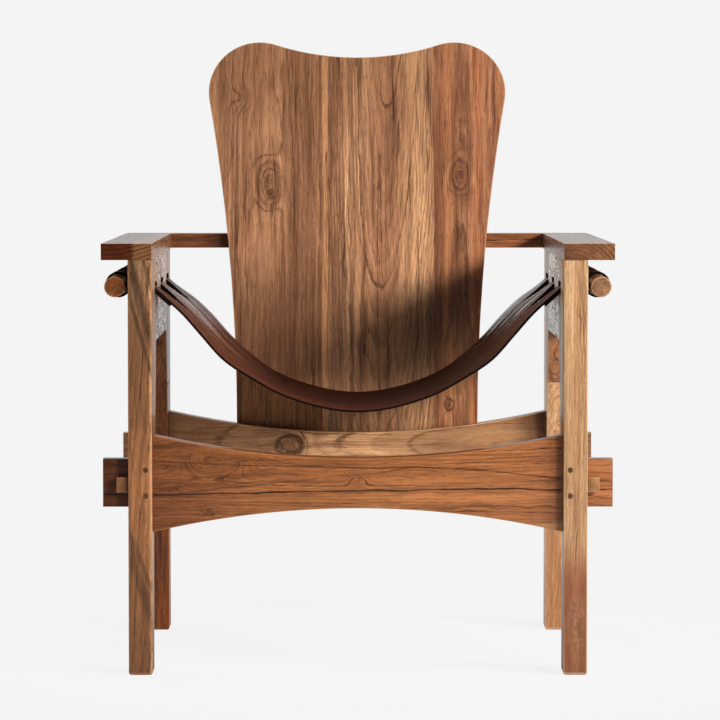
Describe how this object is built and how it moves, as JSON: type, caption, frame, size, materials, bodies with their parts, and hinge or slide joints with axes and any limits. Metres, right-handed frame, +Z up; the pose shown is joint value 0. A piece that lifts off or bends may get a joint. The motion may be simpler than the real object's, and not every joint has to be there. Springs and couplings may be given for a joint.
{
  "type": "leather sling lounge chair",
  "caption": "Low wooden lounge chair with flared legs, arched rails on wedged through tenons, a reclined board back and a leather sling seat strapped to rods under the armrests.",
  "frame": {"origin": "on the floor, under the middle of the chair's bounding box", "axes": "+Z up, the seat opens towards -Y, +X towards the viewer's right from the front; left in the node names is -X"},
  "size_m": [0.7112, 0.6738, 0.8942],
  "materials": {
    "pale_teak": "light golden teak, oiled, fine straight grain",
    "brown_teak": "mid brown teak, oiled, dark streaks",
    "red_teak": "reddish brown teak, oiled, swirling grain with knots",
    "dark_teak": "dark brown teak, oiled",
    "saddle_leather": "thick chestnut saddle leather with black painted edges",
    "screw_steel": "plain countersunk wood screw"
  },
  "bodies": {
    "frame": {"front_leg_left": "brown_teak", "front_leg_right": "pale_teak", "rear_leg_lower_left": "dark_teak", "rear_leg_lower_right": "pale_teak", "rear_leg_upper_left": "dark_teak", "rear_leg_upper_right": "red_teak", "side_panel_left": "brown_teak", "side_panel_right": "pale_teak", "panel_tongue_front_left": "pale_teak", "panel_tongue_front_right": "pale_teak", "panel_tongue_rear_left": "pale_teak", "panel_tongue_rear_right": "pale_teak", "armrest_left": "brown_teak", "armrest_right": "brown_teak", "arm_dowel_front_left_1": "pale_teak", "arm_dowel_front_left_2": "pale_teak", "arm_dowel_front_right_1": "pale_teak", "arm_dowel_front_right_2": "pale_teak", "arm_dowel_rear_left_1": "pale_teak", "arm_dowel_rear_left_2": "pale_teak", "arm_dowel_rear_right_1": "pale_teak", "arm_dowel_rear_right_2": "pale_teak", "front_rail": "red_teak", "rear_rail": "red_teak", "front_peg_left_lower": "brown_teak", "front_peg_left_upper": "brown_teak", "front_peg_right_lower": "brown_teak", "front_peg_right_upper": "brown_teak", "rear_peg_left_lower": "brown_teak", "rear_peg_left_upper": "brown_teak", "rear_peg_right_lower": "brown_teak", "rear_peg_right_upper": "brown_teak", "back_bar": "brown_teak", "bar_dowel_left_1": "pale_teak", "bar_dowel_left_2": "pale_teak", "bar_dowel_right_1": "pale_teak", "bar_dowel_right_2": "pale_teak", "back_stave_left": "brown_teak", "back_stave_middle": "brown_teak", "back_stave_right": "brown_teak", "back_spline_left": "pale_teak", "back_spline_right": "pale_teak", "rail_screw_left": "screw_steel", "rail_screw_middle": "screw_steel", "rail_screw_right": "screw_steel", "bar_screw_left": "screw_steel", "bar_screw_middle": "screw_steel", "bar_screw_right": "screw_steel", "leather_sling": "saddle_leather"},
    "rod_left": {"sling_rod_left": "brown_teak"},
    "rod_right": {"sling_rod_right": "brown_teak"},
    "wedge_front_left": {"front_wedge_left": "pale_teak"},
    "wedge_front_right": {"front_wedge_right": "pale_teak"},
    "wedge_rear_left": {"rear_wedge_left": "pale_teak"},
    "wedge_rear_right": {"rear_wedge_right": "pale_teak"}
  },
  "joints": [
    {"name": "rod_draw_left", "type": "slide", "parent": "frame", "child": "rod_left", "axis": [0, -1, 0], "range_m": [-0.455, 0.455]},
    {"name": "rod_draw_right", "type": "slide", "parent": "frame", "child": "rod_right", "axis": [0, -1, 0], "range_m": [-0.455, 0.455]},
    {"name": "wedge_draw_front_left", "type": "slide", "parent": "frame", "child": "wedge_front_left", "axis": [0, -1, 0], "range_m": [0, 0.05]},
    {"name": "wedge_draw_front_right", "type": "slide", "parent": "frame", "child": "wedge_front_right", "axis": [0, -1, 0], "range_m": [0, 0.05]},
    {"name": "wedge_draw_rear_left", "type": "slide", "parent": "frame", "child": "wedge_rear_left", "axis": [0, 1, 0], "range_m": [0, 0.05]},
    {"name": "wedge_draw_rear_right", "type": "slide", "parent": "frame", "child": "wedge_rear_right", "axis": [0, 1, 0], "range_m": [0, 0.05]}
  ]
}
